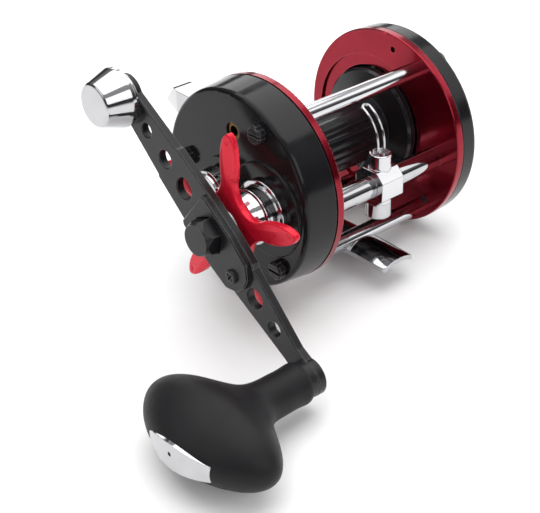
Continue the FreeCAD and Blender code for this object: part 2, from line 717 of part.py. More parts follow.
def drag_stack():
    """Drag washers in the gear's cup, and the sleeve that brings the star's load to them."""
    cup = "gear_in + 1.2"
    fibre = [turned(f"fibre_washer_{index}", "handle", "drive_f", "drive_up",
                    ring_points(f"{cup} + {start}", f"{cup} + {start + 0.6:.1f}", "3.3", "drag_r"),
                    False)
             for index, start in enumerate((0.0, 1.4))]
    group("fibre_drag_washers", fibre)
    turned("metal_drag_washer", "handle", "drive_f", "drive_up",
           ring_points(f"{cup} + 0.6", f"{cup} + 1.4", "shaft_r", "drag_r - 0.1"))
    turned("drag_pressure_plate", "handle", "drive_f", "drive_up",
           ring_points(f"{cup} + 2", f"{cup} + 2.8", "shaft_r", "drag_r - 0.1"))
    turned("drag_spring_washer", "handle", "drive_f", "drive_up",
           [(f"{cup} + 2.8", "4.8"), (f"{cup} + 2.8", "5.6"), (f"{cup} + 3.4", "4.0"),
            (f"{cup} + 3.4", "shaft_r")])
    turned("drag_sleeve", "handle", "drive_f", "drive_up",
           ring_points(f"{cup} + 3.4", "housing_out", "shaft_r", "sleeve_r"))


def star_drag():
    """Five paddles on a web scooped out between them, with a boss behind."""
    body = new_body("star_drag", "handle", "drive_f", "drive_up", 180.0 - dim("star_angle"))
    pad(body, "star_back", "star_front", [("0", "0", "star_web_r")])
    side = [("8", "3.1"), ("12.6", "3.2"), ("15.5", "3.75"), ("18.5", "3.95"), ("21.5", "3.7"),
            ("24", "3.1"), ("25.8", "2.3"), ("27", "1.2"), ("star_tip_r", "0.4")]
    paddle = side + [(along, f"-{half}") for along, half in reversed(side)]
    arm = pad(body, "star_back", "star_front", [paddle])
    repeat(body, arm, 5)
    turn_outline(body, rod_points("housing_out + 0.15", "star_back + 0.1", "5.2"))
    gap_angle = math.radians(36)
    gap = pocket(body, "star_back - 0.1", "star_front",
                 [(f"star_gap_at * {math.cos(gap_angle):.5f}",
                   f"star_gap_at * {math.sin(gap_angle):.5f}", "star_gap_r")])
    repeat(body, gap, 5)
    dimple = pocket(body, "star_front - 0.4", "star_front", [("25", "0", "0.6")])
    repeat(body, dimple, 5)
    cut_turned(body, rod_points("housing_out", "star_front", "shaft_r + run"))
    return keep(body)


def bow_washer():
    """A dished spring washer between the star and the handle."""
    turned("bow_washer", "handle", "drive_f", "drive_up",
           [("star_front + 0.3", "4.6"), ("star_front + 0.3", "5.6"), ("arm_back", "4.2"),
            ("arm_back", "shaft_r"), ("arm_back - 0.8", "shaft_r")])


# ---------------------------------------------------------------- handle

def arm_body(label):
    """A body on the drive axis whose own Y runs along the handle to the knob."""
    return new_body(label, "handle", "drive_f", "drive_up", -dim("arm_drop"))


RETAINER_SCREW = ("12.7", "-0.8")


def handle_arm():
    """A double-tapered plate, stepped at its middle, with five lightening holes."""
    body = arm_body("handle_arm")
    side = [("-weight_at", "4.5"), ("-38", "5.2"), ("-23.4", "6.5"), ("-22.6", "7.1"),
            ("-6", "8"), ("5", "8"), ("14.2", "7.3"), ("15.2", "6.4"), ("38.5", "3.4"),
            ("knob_at", "4.3")]
    outline = side + [(along, f"-{half}") for along, half in reversed(side)]
    holes = [("-33.6", "0", "2.1"), ("-24", "0", "2.6"), ("-14.4", "0", "3.1"),
             ("20.9", "0", "2.8"), ("30.4", "0", "2.2"), (*RETAINER_SCREW, "1.1"),
             ("0", "0", "shaft_r")]
    pad(body, "arm_back", "arm_front", [outline] + holes)
    pad(body, "arm_back", "arm_front", [("knob_at", "0", "5.2")])
    pad(body, "arm_back", "arm_front", [("-weight_at", "0", "5.6")])
    pocket(body, "arm_back", "arm_front", [("knob_at", "0", "post_r")])
    soften(body, "0.3", flat_edge(dim("arm_front")), chamfer=True)
    return keep(body)


def hexagon(flats):
    """The corners of a hexagon, with two of its flats across the handle."""
    corner = f"({flats}) / 1.7320508"
    return [(f"{corner} * {math.cos(math.radians(60 * i)):.6f}",
             f"{corner} * {math.sin(math.radians(60 * i)):.6f}") for i in range(6)]


def handle_nut():
    """A hexagon nut with a long round bevel down to its flat front."""
    body = arm_body("handle_nut")
    pad(body, "arm_front", "nut_front", [hexagon("nut_flats")])
    cut_turned(body, [("nut_front - 2.6", "nut_flats / 1.7320508 + 0.1"), ("nut_front", "nut_face_r"),
                      ("nut_front", "nut_flats"), ("nut_front - 2.6", "nut_flats")])
    pocket(body, "arm_front", "nut_front - 1.9", [("0", "0", "shaft_nose_r")])
    return keep(body)


def nut_retainer():
    """The plate round the nut that stops it turning, held by one screw."""
    body = arm_body("nut_retainer")
    outline = [("-8.6", "-6.6"), ("-7.4", "-7.4"), ("5", "-7.4"), ("13.4", "-6.5"),
               ("16.7", "-3.4"), ("17.4", "0"), ("16.7", "3.4"), ("13.4", "6.5"), ("5", "7.4"),
               ("-7.4", "7.4"), ("-8.6", "6.6")]
    pad(body, "arm_front", "retainer_front", [outline])
    pocket(body, "arm_front", "retainer_front", [hexagon("nut_flats + 0.2")])
    pocket(body, "arm_front", "retainer_front", [(*RETAINER_SCREW, "1.1")])
    soften(body, "0.4", flat_edge(dim("retainer_front")), chamfer=True)
    return keep(body)


def retainer_screw():
    """A small cross-head screw through the retainer into the arm."""
    body = arm_body("retainer_screw")
    pad(body, "arm_back + 0.2", "retainer_front", [(*RETAINER_SCREW, "1.1")])
    pad(body, "retainer_front", "retainer_front + 0.9", [(*RETAINER_SCREW, "2")])
    soften(body, "0.5", ring_edge(dim("retainer_front") + 0.9, 2.0))
    for across, along in ((1.3, 0.25), (0.25, 1.3)):
        pocket(body, "retainer_front + 0.2", "retainer_front + 0.9",
               [[(f"{RETAINER_SCREW[0]} + {a}", f"{RETAINER_SCREW[1]} + {b}") for a, b in
                 ((-across, -along), (across, -along), (across, along), (-across, along))]])
    return keep(body)


def counterweight():
    """A truncated cone that balances the knob."""
    body = new_body("counterweight", "handle", *along_arm("-weight_at"))
    turn_outline(body, [("arm_front", "0"), ("weight_front", "0"),
                        ("weight_front", "weight_front_r"), ("weight_back + 1.2", "weight_r"),
                        ("weight_back", "weight_r"), ("weight_back", "weight_r - 1.6"),
                        ("arm_front", "weight_r - 1.6")])
    soften(body, "1.1", ring_edge(dim("weight_front"), dim("weight_front_r")))
    soften(body, "0.5", ring_edge(dim("weight_back") + 1.2, dim("weight_r")))
    return keep(body)


def along_arm(distance):
    """A point of the handle as distances to the front and up, in expressions."""
    drop = math.radians(dim("arm_drop"))
    return (f"drive_f + ({distance}) * {math.cos(drop):.6f}",
            f"drive_up - ({distance}) * {math.sin(drop):.6f}")


def knob_post():
    """The post that the knob spins on, with a flange against the arm and a head at its end."""
    turned("knob_post", "handle", *along_arm("knob_at"),
           [("arm_back", "0"), ("67.4", "0"), ("67.4", "3.3"), ("66", "3.3"), ("66", "post_r"),
            ("stem_in - 0.3", "post_r"), ("stem_in - 0.3", "5.1"), ("arm_front", "5.1"),
            ("arm_front", "post_r"), ("arm_back", "post_r")])


# the grip: distance out, half length, half height, and how far the section sits below the post
KNOB_SECTIONS = [(37.5, 5.72, 5.72, 0.0), (42.0, 5.7, 5.7, 0.0), (45.0, 5.75, 5.74, 0.0),
                 (47.5, 6.2, 5.8, 0.05), (50.0, 7.7, 6.1, 0.2), (53.0, 11.6, 7.2, 0.35),
                 (56.0, 16.7, 8.8, 0.45), (59.0, 20.8, 10.3, 0.5), (62.0, 22.9, 11.0, 0.5),
                 (65.0, 22.9, 10.8, 0.5), (68.0, 21.2, 9.8, 0.5), (70.5, 18.6, 8.5, 0.5),
                 (72.5, 15.8, 7.1, 0.5), (74.2, 12.6, 5.7, 0.55), (75.3, 9.9, 4.6, 0.6),
                 (76.1, 6.8, 3.5, 0.6)]
KNOB_TILT = -7.0
# the end plate: half heights along its length, square at the front and pointed at the rear
INLAY_HALVES = [(-1.0, 0.9), (-0.82, 2.2), (-0.45, 3.4), (0.0, 3.8), (0.45, 3.4), (1.0, 2.3)]
INLAY_FORWARD, INLAY_DOWN = 1.0, 0.6


def ellipse_wire(out, half_length, half_height, down):
    """An ellipse across X, long in Y."""
    centre = Vector(out, 0, -down)
    if half_length - half_height < 1e-6:
        curve = Part.Circle(centre, Vector(1, 0, 0), half_length)
    else:
        curve = Part.Ellipse(centre + Vector(0, half_length, 0), centre + Vector(0, 0, half_height),
                             centre)
    return Part.Wire([curve.toShape()])


def inlay_outline(out, half_length):
    """The end plate's lens-shaped outline across X."""
    def row(sign):
        return [Vector(out, INLAY_FORWARD + half_length * along, sign * half - INLAY_DOWN)
                for along, half in INLAY_HALVES]

    upper, lower = Part.BSplineCurve(), Part.BSplineCurve()
    upper.interpolate(row(1))
    lower.interpolate(row(-1))
    nose = Vector(out, INLAY_FORWARD - half_length - 0.5, -INLAY_DOWN)
    edges = [upper.toShape(), Part.LineSegment(row(1)[-1], row(-1)[-1]).toShape(),
             lower.toShape(), Part.Arc(row(-1)[0], nose, row(1)[0]).toShape()]
    return Part.Wire(Part.__sortEdges__(edges))


def knob_parts():
    """The T-shaped grip, lofted through ellipses, with its bushes and curved end plate."""
    forward = dim("drive_f") + dim("knob_at") * math.cos(math.radians(dim("arm_drop")))
    up = dim("drive_up") - dim("knob_at") * math.sin(math.radians(dim("arm_drop")))
    place = handle_side_place(forward, up)
    sections = [(dim("stem_in"), dim("stem_r"), dim("stem_r"), 0.0)] + KNOB_SECTIONS
    grip = Part.makeLoft([ellipse_wire(*section) for section in sections], True)
    front, curve = dim("knob_front"), dim("plate_curve")
    outline = inlay_outline(front - 10, dim("inlay_len") / 2)
    blank = Part.Face(outline).extrude(Vector(12, 0, 0))
    outer = Part.makeCylinder(curve, 60, Vector(front - curve, 0, -30), Vector(0, 0, 1))
    inner = Part.makeCylinder(curve - dim("inlay_t"), 60, Vector(front - curve, 0, -30),
                              Vector(0, 0, 1))
    plate = blank.common(outer).cut(inner)
    plate = plate.cut(disc(front - 3, front + 3, 0.6))
    grip = grip.cut(blank.cut(inner))
    grip = grip.cut(disc(0, 68.5, dim("knob_bore_r")))
    for part in (grip, plate):
        part.rotate(Vector(), Vector(1, 0, 0), KNOB_TILT)
    shaped("knob_grip", grip, place)
    shaped("knob_end_plate", plate, place)
    bushes = [turned(f"knob_bush_{index}", "handle", *along_arm("knob_at"),
                     ring_points(start, end, "post_r + run", "knob_bore_r"), False)
              for index, (start, end) in enumerate((("stem_in", "stem_in + 5"), ("60", "65")))]
    group("knob_bushes", bushes)


# ---------------------------------------------------------------- cast control

def cast_control_cap():
    """A knurled cap on the cover's tube that loads the end of the spool's axle."""
    body = new_body("cast_control_cap", "handle", "spool_f", "0")
    turn_outline(body, [("15.2", "cast_tube_r + run"), ("cast_tube_end + 0.2", "cast_tube_r + run"),
                        ("cast_tube_end + 0.2", "0"), ("20", "0"), ("20", "4.7"), ("19.4", "5.1"),
                        ("19.2", "5.9"), ("15.4", "6.2"), ("15.2", "5.9")])
    notch = pocket(body, "15.2", "19.3", [("6.35", "0", "0.38")])
    repeat(body, notch, 32)
    return keep(body)


def cast_friction_disc():
    turned("cast_friction_disc", "handle", "spool_f", "0",
           rod_points("cast_tube_end - 0.6", "cast_tube_end + 0.2", "2"))


# ---------------------------------------------------------------- clutch and free-spool button

def yoke_studs():
    """Two posts between the mechanism plate and the cover, that the yoke slides on."""
    studs = [turned(f"yoke_stud_{index}", "handle", "yoke_stud_f", up,
                    rod_points("mech_out", "cover_inside", "yoke_stud_r"), False)
             for index, up in enumerate(("yoke_stud_up", "-yoke_stud_up"))]
    group("yoke_studs", studs)


def yoke_springs():
    """Two ribbed spring sleeves that push the yoke and pinion back onto the axle's pin."""
    start, ribs, pitch = "yoke_in + yoke_t + clutch_travel + 0.2", 4, 0.8
    points = [(f"{start} + {ribs * pitch}", "1.35")]
    for index in range(2 * ribs, -1, -1):
        points.append((f"{start} + {index * pitch / 2}", "2.05" if index % 2 else "1.65"))
    points.append((start, "1.35"))
    springs = [turned(f"yoke_spring_{index}", "handle", "yoke_stud_f", up, points, False)
               for index, up in enumerate(("yoke_stud_up", "-yoke_stud_up"))]
    group("yoke_springs", springs)


def clutch_yoke():
    """A forked plate in the pinion's groove, with two ears on the studs and a rear wing."""
    body = new_body("clutch_yoke", "handle")
    end = "yoke_in + yoke_t"
    outline = [("-2.6", "-4.6"), ("-2.6", "-2.2"), ("-6.35", "-2.2"), ("-6.35", "2.2"),
               ("-2.6", "2.2"), ("-2.6", "4.6"), ("-5.5", "4.6"),
               ("-5.5", "10.4"), ("-10.6", "10.4"), ("-10.6", "3"), ("-14.5", "3"), ("-14.5", "-3"),
               ("-10.6", "-3"), ("-10.6", "-10.4"), ("-5.5", "-10.4"), ("-5.5", "-4.6")]
    pad(body, "yoke_in", end, [outline, ("yoke_stud_f", "yoke_stud_up", "yoke_stud_r + run"),
                               ("yoke_stud_f", "-yoke_stud_up", "yoke_stud_r + run")])
    return keep(body)


def clutch_slide():
    """The plate behind the button, with the ramp that lifts the yoke."""
    body = new_body("clutch_slide", "handle")
    outline = [("-11", "3.15"), ("-14.5", "3.15"), ("-14.5", "9"), ("-17", "10.6"), ("-21", "13.2"),
               ("-21", "17.5"), ("-17", "15.5"), ("-11", "9.5")]
    pad(body, "mech_out + 0.1", "yoke_in - 0.1", [outline])
    sketch = new_sketch(body, "XZ_Plane", "11")
    low = "yoke_in - 0.2"
    draw_polygon(sketch, [(low, "3.15"), ("yoke_in - 0.1", "3.15"),
                          ("yoke_in - 0.1 + clutch_travel", "3.15 + button_travel"),
                          (low, "3.15 + button_travel")])
    ramp = body.newObject("PartDesign::Pad", "ramp")
    ramp.Profile = sketch
    ramp.Length = 3.5
    return keep(body)


def free_spool_button():
    """A faceted thumb wedge that comes out through the slot in the cover's rim."""
    body = new_body("free_spool_button", "handle")
    side = [("-21", "12.7"), ("-36", "12.7"), ("-36.4", "13.5"), ("-31", "19"), ("-29.6", "19.3"),
            ("-21", "19.3")]
    pad(body, "plate_t + 0.7", "cover_inside - 0.8", [side])
    sketch = new_sketch(body, "XY_Plane", "12")
    draw_polygon(sketch, [("plate_t + 0.7", "-31"), ("plate_t + 0.7", "-37"),
                          ("plate_t + 4", "-37")])
    draw_polygon(sketch, [("cover_inside - 0.8", "-28"), ("cover_inside - 0.8", "-37"),
                          ("cover_inside - 4.2", "-37")])
    before = solid_volume(body)
    facets = body.newObject("PartDesign::Pocket", "facets")
    facets.Profile = sketch
    facets.Reversed = True
    facets.Length = 8
    must_cut(body, before)
    return keep(body)


# ---------------------------------------------------------------- spool

def spool():
    """A flanged drum with shallow flutes along its arbor."""
    body = new_body("spool", "handle", "spool_f", "0")
    far_out, far_in = "-(plate_gap + flange_out)", "-(plate_gap + flange_in)"
    turn_outline(body, [("flange_out", "axle_r"), ("flange_out", "5"), ("flange_out - 1.2", "5.6"),
                        ("flange_out - 1.2", "14.6"), ("flange_out", "15.2"),
                        ("flange_out", "flange_r"), ("flange_in + 0.6", "flange_r"),
                        ("flange_in", "flange_r - 0.6"), ("flange_in - 1.6", "arbor_r"),
                        (f"{far_in} + 1.6", "arbor_r"), (far_in, "flange_r - 0.6"),
                        (f"{far_in} - 0.6", "flange_r"), (far_out, "flange_r"),
                        (far_out, "15.2"), (f"{far_out} + 1.2", "14.6"),
                        (f"{far_out} + 1.2", "5.6"), (far_out, "5"), (far_out, "axle_r")])
    flute = pocket(body, "-(plate_gap + flange_in) + 4", "flange_in - 4",
                   [("arbor_r + 2.6", "0", "3")])
    repeat(body, flute, 10)
    return keep(body)


def spool_axle():
    turned("spool_axle", "handle", "spool_f", "0",
           rod_points("-(plate_gap + axle_palm_end)", "axle_handle_end", "axle_r"))


def clutch_pin():
    """The cross pin of the axle that the pinion's slot drives."""
    pin = doc.addObject("Part::Cylinder", "clutch_pin_blank")
    pin.setExpression("Radius", bound("pin_r"))
    pin.Height = 6.2
    pin.Placement = Placement(Vector(), Rotation(Vector(1, 0, 0), 90))
    pin.setExpression("Placement.Base.x", bound("-plate_gap / 2 - pin_at"))
    pin.setExpression("Placement.Base.y", bound("-spool_f + 3.1"))
    pin.setExpression("Placement.Base.z", bound("seat_drop"))
    axle = doc.addObject("Part::Cylinder", "clutch_pin_bore")
    axle.setExpression("Radius", bound("axle_r"))
    axle.Height = 4
    axle.Placement = Placement(Vector(), Rotation(Vector(0, 1, 0), 90))
    axle.setExpression("Placement.Base.x", bound("-plate_gap / 2 - pin_at - 2"))
    axle.setExpression("Placement.Base.y", bound("-spool_f"))
    axle.setExpression("Placement.Base.z", bound("seat_drop"))
    halves = doc.addObject("Part::Cut", "clutch_pin")
    halves.Base = pin
    halves.Tool = axle
    halves.Label = "clutch_pin"
    return keep(halves)


def spool_bearings():
    """A ball bearing at each end of the axle, each drawn as one ring."""
    handle = turned("handle_bearing", "handle", "spool_f", "0",
                    ring_points("cast_tube_end - 5", "cast_tube_end - 2.5", "axle_r + run",
                                "bearing_r"), False)
    palm = turned("palm_bearing", "palm", "spool_f", "0",
                  ring_points("4.6", "7.1", "axle_r + run", "bearing_r"), False)
    group("spool_bearings", [handle, palm])


# ---------------------------------------------------------------- palm side

def palm_side_cover():
    """A plain cup with a boss for the spool's bearing."""
    body = new_body("palm_side_cover", "palm")
    turn_outline(body, [("plate_t", "palm_wall_r"), ("palm_inside", "palm_wall_r"),
                        ("palm_inside", "0"), ("palm_face", "0"), ("palm_face", "24"),
                        ("palm_face - 1.4", "palm_edge_r"), ("plate_t + 0.5", "plate_r - 0.1"),
                        ("plate_t", "plate_r - 0.5")])
    pad(body, "4.5", "palm_inside", [("-spool_f", "0", "5.5"), ("-spool_f", "0", "bearing_r")])
    pocket(body, "palm_inside", "palm_face",
           [(on_side("palm", forward), up, "screw_r") for forward, up in cover_screws("palm")])
    soften(body, "1.5", ring_edge(dim("palm_face") - 1.4, dim("palm_edge_r")))
    return keep(body)


def magnetic_brake():
    """Six magnets on a steel carrier that face the spool's palm-side flange."""
    turned("magnet_carrier", "palm", "spool_f", "0",
           [("2.7", "8"), ("3.9", "8"), ("3.9", "13"), ("palm_inside", "13"),
            ("palm_inside", "14.2"), ("2.7", "14.2")])
    magnets = []
    for index in range(6):
        angle = math.radians(60 * index)
        magnets.append(turned(f"magnet_{index}", "palm", f"spool_f + {11 * math.cos(angle):.4f}",
                              f"{11 * math.sin(angle):.4f}", rod_points("1.3", "2.7", "2.2"), False))
    group("brake_magnets", magnets)


# ---------------------------------------------------------------- level wind

def level_wind_tube():
    """The chromed tube round the worm, slotted below for the pawl."""
    far = "-(plate_gap + plate_t)"
    body = new_body("level_wind_tube", "handle", "worm_f", "worm_up")
    turn_outline(body, ring_points(far, "plate_t", "tube_bore", "tube_r"))
    sketch = new_sketch(body, "XY_Plane", "-4")
    draw_polygon(sketch, [("-3.5", "-1.4"), ("-3.5", "1.4"), ("-plate_gap + 3.5", "1.4"),
                          ("-plate_gap + 3.5", "-1.4")])
    before = solid_volume(body)
    slot = body.newObject("PartDesign::Pocket", "slot")
    slot.Profile = sketch
    slot.Reversed = True
    slot.Length = 3
    must_cut(body, before)
    return keep(body)


def worm_bushes():
    """A bush in each end of the tube."""
    near = turned("worm_bush_handle", "handle", "worm_f", "worm_up",
                  ring_points("-1.5", "plate_t", "worm_journal_r + run", "tube_bore"), False)
    far = turned("worm_bush_palm", "palm", "worm_f", "worm_up",
                 ring_points("-1.5", "plate_t", "worm_journal_r + run", "tube_bore"), False)
    group("worm_bushes", [near, far])


def worm_shaft():
    """A shaft with a right-hand and a left-hand groove that cross each other."""
    gap, radius, journal = dim("plate_gap"), dim("worm_r"), dim("worm_journal_r")
    blank = disc(-gap + 1.8, -1.8, radius)
    ends = disc(-gap - 2, dim("wind_gear_out") + 0.3, journal)
    pitch, length, depth = 8.5, gap - 11.0, 0.5
    grooves = []
    for left_handed in (False, True):
        path = Part.Wire(Part.makeHelix(pitch, length, radius - depth, 0, left_handed))
        floor, mouth = radius - depth, radius + 0.7
        profile = Part.makePolygon([Vector(floor, 0, -0.35), Vector(floor, 0, 0.35),
                                    Vector(mouth, 0, 0.7), Vector(mouth, 0, -0.7),
                                    Vector(floor, 0, -0.35)])
        groove = path.makePipeShell([profile], True, True)
        start_angle = 17 if left_handed else 0
        groove.Placement = Placement(Vector(-gap + 5.5, 0, 0), Rotation(Vector(0, 1, 0), 90)
                                     * Rotation(Vector(0, 0, 1), start_angle))
        grooves.append(groove)
    worm = blank.cut(grooves[0]).cut(grooves[1]).fuse(ends)
    shaped("worm_shaft", worm, handle_side_place(dim("worm_f"), dim("worm_up")))


def level_wind_carriage():
    """An octagonal body on the tube, with a round collar above and a seat for the cap below."""
    body = new_body("level_wind_carriage", "middle", "worm_f", "worm_up")
    half, cut_in = 5.3, 2.7
    octagon = [(-half, -cut_in), (-cut_in, -half), (cut_in, -half), (half, -cut_in),
               (half, cut_in), (cut_in, half), (-cut_in, half), (-half, cut_in)]
    pad(body, "-4.2", "4.2", [[(str(across), str(along)) for across, along in octagon]])
    for start, end, radius in (("0", "9.6", "collar_r"), ("-5.4", "0", "cap_r")):
        sketch = new_sketch(body, "XY_Plane", start)
        draw_circle(sketch, "0", "0", radius)
        post = body.newObject("PartDesign::Pad", "post")
        post.Profile = sketch
        post.setExpression("Length", bound(f"({end}) - ({start})"))
    soften(body, "0.35", lambda edge: isinstance(edge.Curve, Part.Circle)
           and abs(edge.Curve.Center.z - 9.6) < 0.01)
    for start, depth, radius in (("9.6", 0.8, "collar_r - 0.8"), ("-5.4", 6.4, "1.3")):
        sketch = new_sketch(body, "XY_Plane", start)
        draw_circle(sketch, "0", "0", radius)
        before = solid_volume(body)
        well = body.newObject("PartDesign::Pocket", "well")
        well.Profile = sketch
        well.Length = depth
        well.Reversed = start != "9.6"
        must_cut(body, before)
    cut_turned(body, rod_points("-5", "5", "tube_r + run"))
    return keep(body)


def line_guide():
    """A tall narrow loop of wire that leans back over the spool."""
    half, wire = dim("guide_half_gap"), dim("wire_r")
    bend = 11.3
    reach = math.radians(62)

    def on_bend(across, angle):
        return Vector(across, bend * (1 - math.cos(angle)), 9.6 + 1.6 + bend * math.sin(angle))

    start = Vector(-half, 0, 9.6 - 0.8)
    left = [Part.LineSegment(start, on_bend(-half, 0)),
            Part.Arc(on_bend(-half, 0), on_bend(-half, reach / 2), on_bend(-half, reach))]
    tangent = Vector(0, math.sin(reach), math.cos(reach))
    top = on_bend(0, reach) + tangent * half
    right = [Part.Arc(on_bend(half, reach), on_bend(half, reach / 2), on_bend(half, 0)),
             Part.LineSegment(on_bend(half, 0), Vector(half, 0, 9.6 - 0.8))]
    over = Part.Arc(on_bend(-half, reach), top, on_bend(half, reach))
    path = Part.Wire([curve.toShape() for curve in left + [over] + right])
    section = Part.Wire([Part.Circle(start, Vector(0, 0, 1), wire).toShape()])
    loop = path.makePipeShell([section], True, True)
    place = Placement(Vector(dim("carriage_x"), -dim("worm_f"), dim("seat_drop") + dim("worm_up")),
                      Rotation())
    shaped("line_guide", loop, place)


def standing(label, outline, up="0"):
    """A sub-part turned about an upright axis through the carriage, from (radius, height)."""
    body = new_body(label, "middle", "worm_f", f"worm_up + {up}")
    sketch = new_sketch(body, "XZ_Plane")
    draw_polygon(sketch, outline)
    solid = body.newObject("PartDesign::Revolution", "turned")
    solid.Profile = sketch
    solid.ReferenceAxis = (sketch, ["V_Axis"])
    solid.Angle = 360
    return body


def pawl_parts():
    """The pawl that follows the worm, and the cap that holds it in the carriage."""
    cap = standing("pawl_cap", [("0", "-10.2"), ("cap_r - 0.3", "-10.2"), ("cap_r", "-9.9"),
                                ("cap_r", "-5.4"), ("1.9", "-5.4"), ("1.9", "-8.8"),
                                ("0", "-8.8")])
    keep(cap)
    pawl = standing("pawl", [("0", "-8.7"), ("1.6", "-8.7"), ("1.6", "-5.7"), ("1", "-5.7"),
                             ("1", "-2.6"), ("0", "-2.6")])
    keep(pawl)


# ---------------------------------------------------------------- build, check and write

def build():
    handle_side_plate()
    palm_side_plate()
    pillars()
    pillar_screws()
    reel_foot()
    foot_screws()
    handle_side_cover()
    cover_thumbscrews()
    oil_port_bush()
    mechanism_plate()
    mechanism_screws()
    drive_bearings()
    one_way_housing()
    one_way_clutch()
    main_gears()
    level_wind_gears()
    drive_shaft()
    drag_stack()
    star_drag()
    bow_washer()
    handle_arm()
    handle_nut()
    nut_retainer()
    retainer_screw()
    counterweight()
    knob_post()
    knob_parts()
    cast_control_cap()
    cast_friction_disc()
    yoke_studs()
    yoke_springs()
    clutch_yoke()
    clutch_slide()
    free_spool_button()
    spool()
    spool_axle()
    clutch_pin()
    spool_bearings()
    palm_side_cover()
    magnetic_brake()
    level_wind_tube()
    worm_bushes()
    worm_shaft()
    level_wind_carriage()
    line_guide()
    pawl_parts()


def write():
    """Check every object, then write each sub-part to its own file."""
    doc.recompute()
    failed = [item.Label for item in doc.Objects if {"Invalid", "Error"} & set(item.State)]
    if failed:
        raise RuntimeError(f"objects that did not build: {failed}")
    for part in SUBPARTS:
        if part.Shape.isNull() or not part.Shape.isValid() or part.Shape.Volume <= 0:
            raise RuntimeError(f"{part.Label} has no valid solid")
    os.makedirs("parts", exist_ok=True)
    for part in SUBPARTS:
        part.Shape.exportStep(f"parts/{part.Label}.step")
        print(f"{part.Label}: {len(part.Shape.Solids)} solid, {part.Shape.Volume:.1f} mm3")
    print(f"{len(SUBPARTS)} sub-parts")


build()
write()
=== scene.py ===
import json
import math

import bmesh
import bpy
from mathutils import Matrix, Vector


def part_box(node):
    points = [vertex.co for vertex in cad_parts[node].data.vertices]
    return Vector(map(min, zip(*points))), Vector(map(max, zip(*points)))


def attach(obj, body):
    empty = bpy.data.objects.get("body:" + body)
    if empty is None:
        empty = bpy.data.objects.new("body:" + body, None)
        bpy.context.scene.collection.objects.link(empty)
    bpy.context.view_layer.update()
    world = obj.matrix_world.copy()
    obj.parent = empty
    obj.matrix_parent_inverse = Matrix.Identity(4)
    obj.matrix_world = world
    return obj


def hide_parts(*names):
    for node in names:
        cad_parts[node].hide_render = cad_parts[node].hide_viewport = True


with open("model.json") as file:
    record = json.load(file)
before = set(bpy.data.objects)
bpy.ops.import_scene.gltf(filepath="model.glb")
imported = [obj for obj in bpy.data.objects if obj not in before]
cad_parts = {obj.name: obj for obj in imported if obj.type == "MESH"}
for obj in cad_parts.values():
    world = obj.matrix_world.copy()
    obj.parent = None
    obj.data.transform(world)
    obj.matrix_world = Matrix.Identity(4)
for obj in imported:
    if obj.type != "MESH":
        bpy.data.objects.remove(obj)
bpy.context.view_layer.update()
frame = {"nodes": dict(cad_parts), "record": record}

NODES = frame["nodes"]
MM = 0.001


# ---------------------------------------------------------------- camera, stage and lights

CAMERA_AZIMUTH, CAMERA_ELEVATION = math.radians(-42.07), math.radians(31.59)
CAMERA_AT = Vector((-257.75, -260.4, 213.1)) * MM
CAMERA_LENS, SENSOR_WIDTH = 94.0, 36.0
CLIP_NEAR, CLIP_FAR = 0.01, 20.0

FLOOR_HALF_SIZE, FLOOR_GRID = 3.0, 8
FLOOR_UNDER_KNOB = 0.8 * MM
KNOB_TOUCH_OFFSET = -2.0 * MM

# The surround's brightness, from straight down (0) over the horizon (0.5) to straight up (1).
SKY_BANDS = [(0.0, 0.35), (0.49, 0.35), (0.505, 0.06), (0.6, 0.04), (0.7, 0.16), (0.82, 0.4),
             (1.0, 0.55)]

# Each soft box: name, place, the point it faces, width and height in metres, and watts.
SOFT_BOXES = [
    ("top_box", (0.02, 0.12, 0.9), (0.0, 0.0, 0.0), (1.3, 1.3), 11.5),
    ("front_box", (-0.15, -0.85, 0.5), (0.0, 0.0, 0.02), (1.0, 0.5), 2.9),
    ("side_box", (-0.85, 0.25, 0.45), (-0.03, 0.0, 0.01), (0.7, 0.5), 1.5),
    ("rear_box", (0.6, 0.75, 0.45), (0.0, 0.0, 0.02), (0.8, 0.45), 2.2),
    ("palm_box", (0.95, -0.25, 0.5), (0.0, 0.0, 0.02), (0.9, 0.9), 3.2),
]


def make_camera():
    """The camera looks at the reel from the handle side, in front of it and above."""
    data = bpy.data.cameras.new("camera")
    data.lens, data.sensor_width = CAMERA_LENS, SENSOR_WIDTH
    data.clip_start, data.clip_end = CLIP_NEAR, CLIP_FAR
    camera = bpy.data.objects.new("camera", data)
    back = Vector((math.sin(CAMERA_AZIMUTH) * math.cos(CAMERA_ELEVATION),
                   -math.cos(CAMERA_AZIMUTH) * math.cos(CAMERA_ELEVATION),
                   math.sin(CAMERA_ELEVATION)))
    camera.location = CAMERA_AT
    camera.rotation_mode = "QUATERNION"
    camera.rotation_quaternion = (-back).to_track_quat("-Z", "Y")
    bpy.context.scene.collection.objects.link(camera)
    bpy.context.scene.camera = camera


